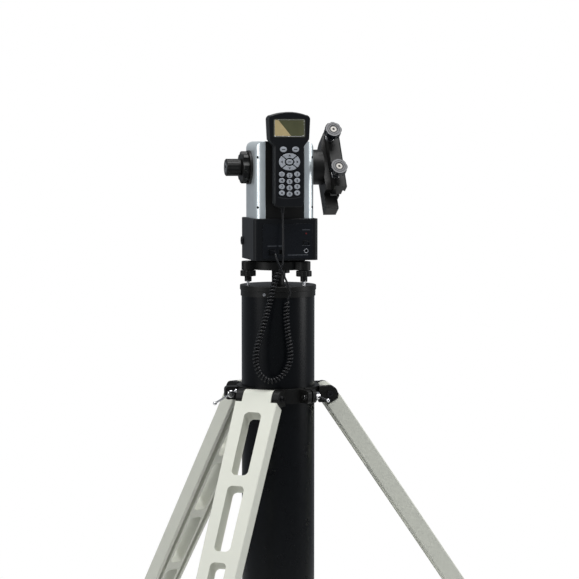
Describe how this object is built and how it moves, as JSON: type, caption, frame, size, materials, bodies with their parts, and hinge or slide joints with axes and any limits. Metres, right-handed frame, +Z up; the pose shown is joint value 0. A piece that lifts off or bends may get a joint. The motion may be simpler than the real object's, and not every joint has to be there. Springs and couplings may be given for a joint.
{
  "type": "altazimuth_telescope_mount",
  "caption": "Motorised alt-azimuth telescope head with dovetail saddle and corded handset, on a black tubular pier with folding slotted legs",
  "frame": {"origin": "On the floor, at the middle of the circle of the three foot pads, on the pier's axis", "axes": "+Z up along the pier; +X along the altitude axis towards the dovetail saddle; -Y the side with the handset and the sockets"},
  "size_m": [0.983, 1.0842, 1.3505],
  "materials": {
    "pier_black": "gloss",
    "cast_black": "satin",
    "white_coat": "satin",
    "bright_steel": "polished",
    "dark_steel": "satin",
    "silver_cover": "satin",
    "black_plastic": "matte",
    "gloss_black": "gloss",
    "grey_key": "matte",
    "window_clear": "gloss",
    "circuit_green": "satin",
    "cell_wrap": "gloss",
    "bronze_gear": "satin",
    "cord_black": "satin",
    "foot_rubber": "matte"
  },
  "bodies": {
    "stand": {"leg_collar": "cast_black", "leg_hinge_pins": "bright_steel"},
    "leg_front_body": {"leg_front": "white_coat"},
    "foot_front_body": {"foot_front": "foot_rubber"},
    "leg_right_body": {"leg_right": "white_coat"},
    "foot_right_body": {"foot_right": "foot_rubber"},
    "leg_left_body": {"leg_left": "white_coat"},
    "foot_left_body": {"foot_left": "foot_rubber"},
    "clamp_front_body": {"clamp_screw_front": "bright_steel"},
    "clamp_left_body": {"clamp_screw_left": "bright_steel"},
    "clamp_rear_body": {"clamp_screw_rear": "bright_steel"},
    "pier": {"pier_tube": "pier_black", "pier_top_plate": "cast_black", "pier_end_cap": "black_plastic", "pier_bolts": "dark_steel", "levelling_base": "cast_black", "azimuth_spindle": "dark_steel"},
    "levelling_left_body": {"levelling_screw_left": "cast_black"},
    "levelling_right_body": {"levelling_screw_right": "cast_black"},
    "levelling_rear_body": {"levelling_screw_rear": "cast_black"},
    "head": {"head_frame": "cast_black", "cover_right": "silver_cover", "cover_left": "silver_cover", "cover_screws": "dark_steel", "axis_bearings": "bright_steel", "electronics_box": "black_plastic", "port_panel": "gloss_black", "panel_fittings": "black_plastic", "side_port_cap": "black_plastic", "battery": "cell_wrap", "main_board": "circuit_green", "drive_worms": "bright_steel", "drive_motors": "dark_steel", "drive_wheels": "bronze_gear", "handset_front": "black_plastic", "handset_window": "window_clear", "handset_board": "circuit_green", "handset_back": "black_plastic", "handset_holder": "black_plastic", "cord_lead_handset": "cord_black", "cord_coil": "cord_black", "cord_lead_plug": "cord_black", "cord_plug": "cord_black"},
    "rocker_body": {"power_rocker": "gloss_black"},
    "key_menu_body": {"key_menu": "grey_key"},
    "key_back_body": {"key_back": "grey_key"},
    "key_enter_body": {"key_enter": "grey_key"},
    "key_right_body": {"key_right": "grey_key"},
    "key_up_body": {"key_up": "grey_key"},
    "key_left_body": {"key_left": "grey_key"},
    "key_down_body": {"key_down": "grey_key"},
    "number_keys_body": {"number_keys": "grey_key"},
    "altitude": {"altitude_shaft": "cast_black", "counterweight_hub": "cast_black", "saddle_base": "cast_black"},
    "clutch_body": {"altitude_clutch_knob": "cast_black"},
    "jaw_body": {"saddle_jaw": "cast_black"},
    "knob_upper_body": {"saddle_knob_upper": "gloss_black"},
    "knob_lower_body": {"saddle_knob_lower": "gloss_black"}
  },
  "joints": [
    {"name": "leg_front_fold", "type": "hinge", "parent": "stand", "child": "leg_front_body", "pos_m": [-0.05678, -0.08231, 0.7775], "axis": [0.8231, -0.5678, 0], "range_deg": [0, 33]},
    {"name": "foot_front_screw", "type": "hinge", "parent": "leg_front_body", "child": "foot_front_body", "pos_m": [-0.32955, -0.47771, 0], "axis": [0, 0, 1], "range_deg": [-180, 180]},
    {"name": "leg_right_fold", "type": "hinge", "parent": "stand", "child": "leg_right_body", "pos_m": [0.09968, -0.00802, 0.7775], "axis": [0.0802, 0.9968, 0], "range_deg": [0, 33]},
    {"name": "foot_right_screw", "type": "hinge", "parent": "leg_right_body", "child": "foot_right_body", "pos_m": [0.57849, -0.04654, 0], "axis": [0, 0, 1], "range_deg": [-180, 180]},
    {"name": "leg_left_fold", "type": "hinge", "parent": "stand", "child": "leg_left_body", "pos_m": [-0.04289, 0.09033, 0.7775], "axis": [-0.9033, -0.4289, 0], "range_deg": [0, 33]},
    {"name": "foot_left_screw", "type": "hinge", "parent": "leg_left_body", "child": "foot_left_body", "pos_m": [-0.24893, 0.52426, 0], "axis": [0, 0, 1], "range_deg": [-180, 180]},
    {"name": "clamp_front_turn", "type": "hinge", "parent": "stand", "child": "clamp_front_body", "pos_m": [0.04289, -0.09033, 0.7785], "axis": [0.9033, 0.4289, 0], "range_deg": [-33, 107]},
    {"name": "clamp_left_turn", "type": "hinge", "parent": "stand", "child": "clamp_left_body", "pos_m": [-0.09968, 0.00802, 0.7785], "axis": [-0.0802, -0.9968, 0], "range_deg": [-55, 85]},
    {"name": "clamp_rear_turn", "type": "hinge", "parent": "stand", "child": "clamp_rear_body", "pos_m": [0.05678, 0.08231, 0.7785], "axis": [-0.8231, 0.5678, 0], "range_deg": [-65, 75]},
    {"name": "pier_lift", "type": "slide", "parent": "stand", "child": "pier", "axis": [0, 0, 1], "range_m": [0, 0.25]},
    {"name": "levelling_left_turn", "type": "hinge", "parent": "pier", "child": "levelling_left_body", "pos_m": [-0.06515, -0.01055, 1], "axis": [0, 0, 1], "range_deg": [-360, 360]},
    {"name": "levelling_right_turn", "type": "hinge", "parent": "pier", "child": "levelling_right_body", "pos_m": [0.04171, -0.05115, 1], "axis": [0, 0, 1], "range_deg": [-360, 360]},
    {"name": "levelling_rear_turn", "type": "hinge", "parent": "pier", "child": "levelling_rear_body", "pos_m": [0.02344, 0.0617, 1], "axis": [0, 0, 1], "range_deg": [-360, 360]},
    {"name": "azimuth_turn", "type": "hinge", "parent": "pier", "child": "head", "pos_m": [0, 0, 1.05], "axis": [0, 0, 1], "continuous": true},
    {"name": "power_rocker_tilt", "type": "hinge", "parent": "head", "child": "rocker_body", "pos_m": [0.042, -0.0665, 1.088], "axis": [0, 0, 1], "range_deg": [-12, 12]},
    {"name": "key_menu_press", "type": "slide", "parent": "head", "child": "key_menu_body", "axis": [0, 1, 0], "range_m": [0, 0.0012], "stiffness_N_per_m": 900},
    {"name": "key_back_press", "type": "slide", "parent": "head", "child": "key_back_body", "axis": [0, 1, 0], "range_m": [0, 0.0012], "stiffness_N_per_m": 900},
    {"name": "key_enter_press", "type": "slide", "parent": "head", "child": "key_enter_body", "axis": [0, 1, 0], "range_m": [0, 0.0012], "stiffness_N_per_m": 900},
    {"name": "key_right_press", "type": "slide", "parent": "head", "child": "key_right_body", "axis": [0, 1, 0], "range_m": [0, 0.0012], "stiffness_N_per_m": 900},
    {"name": "key_up_press", "type": "slide", "parent": "head", "child": "key_up_body", "axis": [0, 1, 0], "range_m": [0, 0.0012], "stiffness_N_per_m": 900},
    {"name": "key_left_press", "type": "slide", "parent": "head", "child": "key_left_body", "axis": [0, 1, 0], "range_m": [0, 0.0012], "stiffness_N_per_m": 900},
    {"name": "key_down_press", "type": "slide", "parent": "head", "child": "key_down_body", "axis": [0, 1, 0], "range_m": [0, 0.0012], "stiffness_N_per_m": 900},
    {"name": "number_keys_press", "type": "slide", "parent": "head", "child": "number_keys_body", "axis": [0, 1, 0], "range_m": [0, 0.0012], "stiffness_N_per_m": 900},
    {"name": "altitude_turn", "type": "hinge", "parent": "head", "child": "altitude", "pos_m": [0, 0, 1.2397], "axis": [1, 0, 0], "continuous": true},
    {"name": "altitude_clutch_turn", "type": "hinge", "parent": "altitude", "child": "clutch_body", "pos_m": [-0.0718, 0, 1.2397], "axis": [1, 0, 0], "range_deg": [-120, 120]},
    {"name": "saddle_jaw_slide", "type": "slide", "parent": "altitude", "child": "jaw_body", "axis": [0, 0.8572, -0.515], "range_m": [0, 0.009]},
    {"name": "saddle_knob_upper_turn", "type": "hinge", "parent": "jaw_body", "child": "knob_upper_body", "pos_m": [0.108, -0.0264, 1.31226], "axis": [0, 0.8572, -0.515], "range_deg": [0, 2160.01]},
    {"name": "saddle_knob_lower_turn", "type": "hinge", "parent": "jaw_body", "child": "knob_lower_body", "pos_m": [0.108, -0.07126, 1.2376], "axis": [0, 0.8572, -0.515], "range_deg": [0, 2160.01]}
  ],
  "couplings": [
    {"joint": "saddle_knob_upper_turn", "follows": "saddle_jaw_slide", "rad_per_m": 4188.8},
    {"joint": "saddle_knob_lower_turn", "follows": "saddle_jaw_slide", "rad_per_m": 4188.8}
  ]
}
